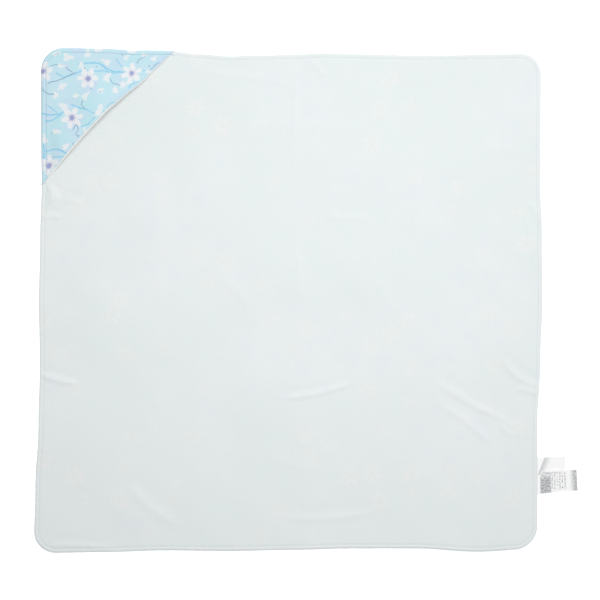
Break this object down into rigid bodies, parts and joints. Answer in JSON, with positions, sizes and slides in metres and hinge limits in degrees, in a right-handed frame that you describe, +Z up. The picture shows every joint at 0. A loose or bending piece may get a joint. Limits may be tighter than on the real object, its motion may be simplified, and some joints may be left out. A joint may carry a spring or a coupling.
{
  "type": "hooded baby towel",
  "caption": "Square hooded baby towel with a white inner face, a floral printed outer face and corner hood, bound hood mouth, top-stitched edges and care labels in the side seam.",
  "frame": {"origin": "middle of the towel on the face that it rests on", "axes": "+Z up out of the white face, +Y towards the hooded side, +X towards the side with the care labels; the hood is at the -X +Y corner"},
  "size_m": [0.8605, 0.8, 0.0174],
  "materials": {
    "printed_cloth": "matte cotton with a blue floral print",
    "white_cloth": "matte looped terry",
    "facing": "soft cream rib binding",
    "thread": "spun polyester sewing thread",
    "label_satin": "woven satin tape"
  },
  "bodies": {
    "middle": {"printed_cloth_middle": "printed_cloth", "white_cloth_middle": "white_cloth", "seam_thread_middle": "thread", "edge_stitching_left_edge": "thread", "edge_stitching_top_edge": "thread"},
    "left_corner": {"printed_cloth_left_corner": "printed_cloth", "white_cloth_left_corner": "white_cloth", "seam_thread_left_corner": "thread", "edge_stitching_left_corner": "thread"},
    "right_corner": {"printed_cloth_right_corner": "printed_cloth", "white_cloth_right_corner": "white_cloth", "seam_thread_right_corner": "thread", "edge_stitching_right_corner": "thread"},
    "foot_corner": {"printed_cloth_foot_corner": "printed_cloth", "white_cloth_foot_corner": "white_cloth", "seam_thread_foot_corner": "thread", "edge_stitching_foot_corner": "thread"},
    "hood": {"hood_cloth": "printed_cloth", "hood_lining": "white_cloth", "hood_facing": "facing", "edge_stitching_hood": "thread", "mouth_stitching": "thread"},
    "back_label": {"back_label": "label_satin"},
    "front_label": {"front_label": "label_satin"}
  },
  "joints": [
    {"name": "left_corner_fold", "type": "hinge", "parent": "middle", "child": "left_corner", "pos_m": [-0.2015, -0.2015, 0.0042], "axis": [-0.7071, 0.7071, 0], "range_deg": [0, 165]},
    {"name": "right_corner_fold", "type": "hinge", "parent": "middle", "child": "right_corner", "pos_m": [0.2015, 0.2015, 0.0042], "axis": [0.7071, -0.7071, 0], "range_deg": [0, 165]},
    {"name": "foot_corner_fold", "type": "hinge", "parent": "middle", "child": "foot_corner", "pos_m": [0.2015, -0.2015, 0.0042], "axis": [-0.7071, -0.7071, 0], "range_deg": [0, 165]},
    {"name": "hood_open", "type": "hinge", "parent": "middle", "child": "hood", "pos_m": [-0.4, 0.4, 0.0069], "axis": [-0.7071, -0.7071, 0], "range_deg": [0, 22]},
    {"name": "back_label_lift", "type": "hinge", "parent": "foot_corner", "child": "back_label", "pos_m": [0.4, -0.264, 0.0042], "axis": [0, -1, 0], "range_deg": [0, 80]},
    {"name": "front_label_lift", "type": "hinge", "parent": "back_label", "child": "front_label", "pos_m": [0.4, -0.289, 0.0042], "axis": [0, -1, 0], "range_deg": [0, 90]}
  ]
}
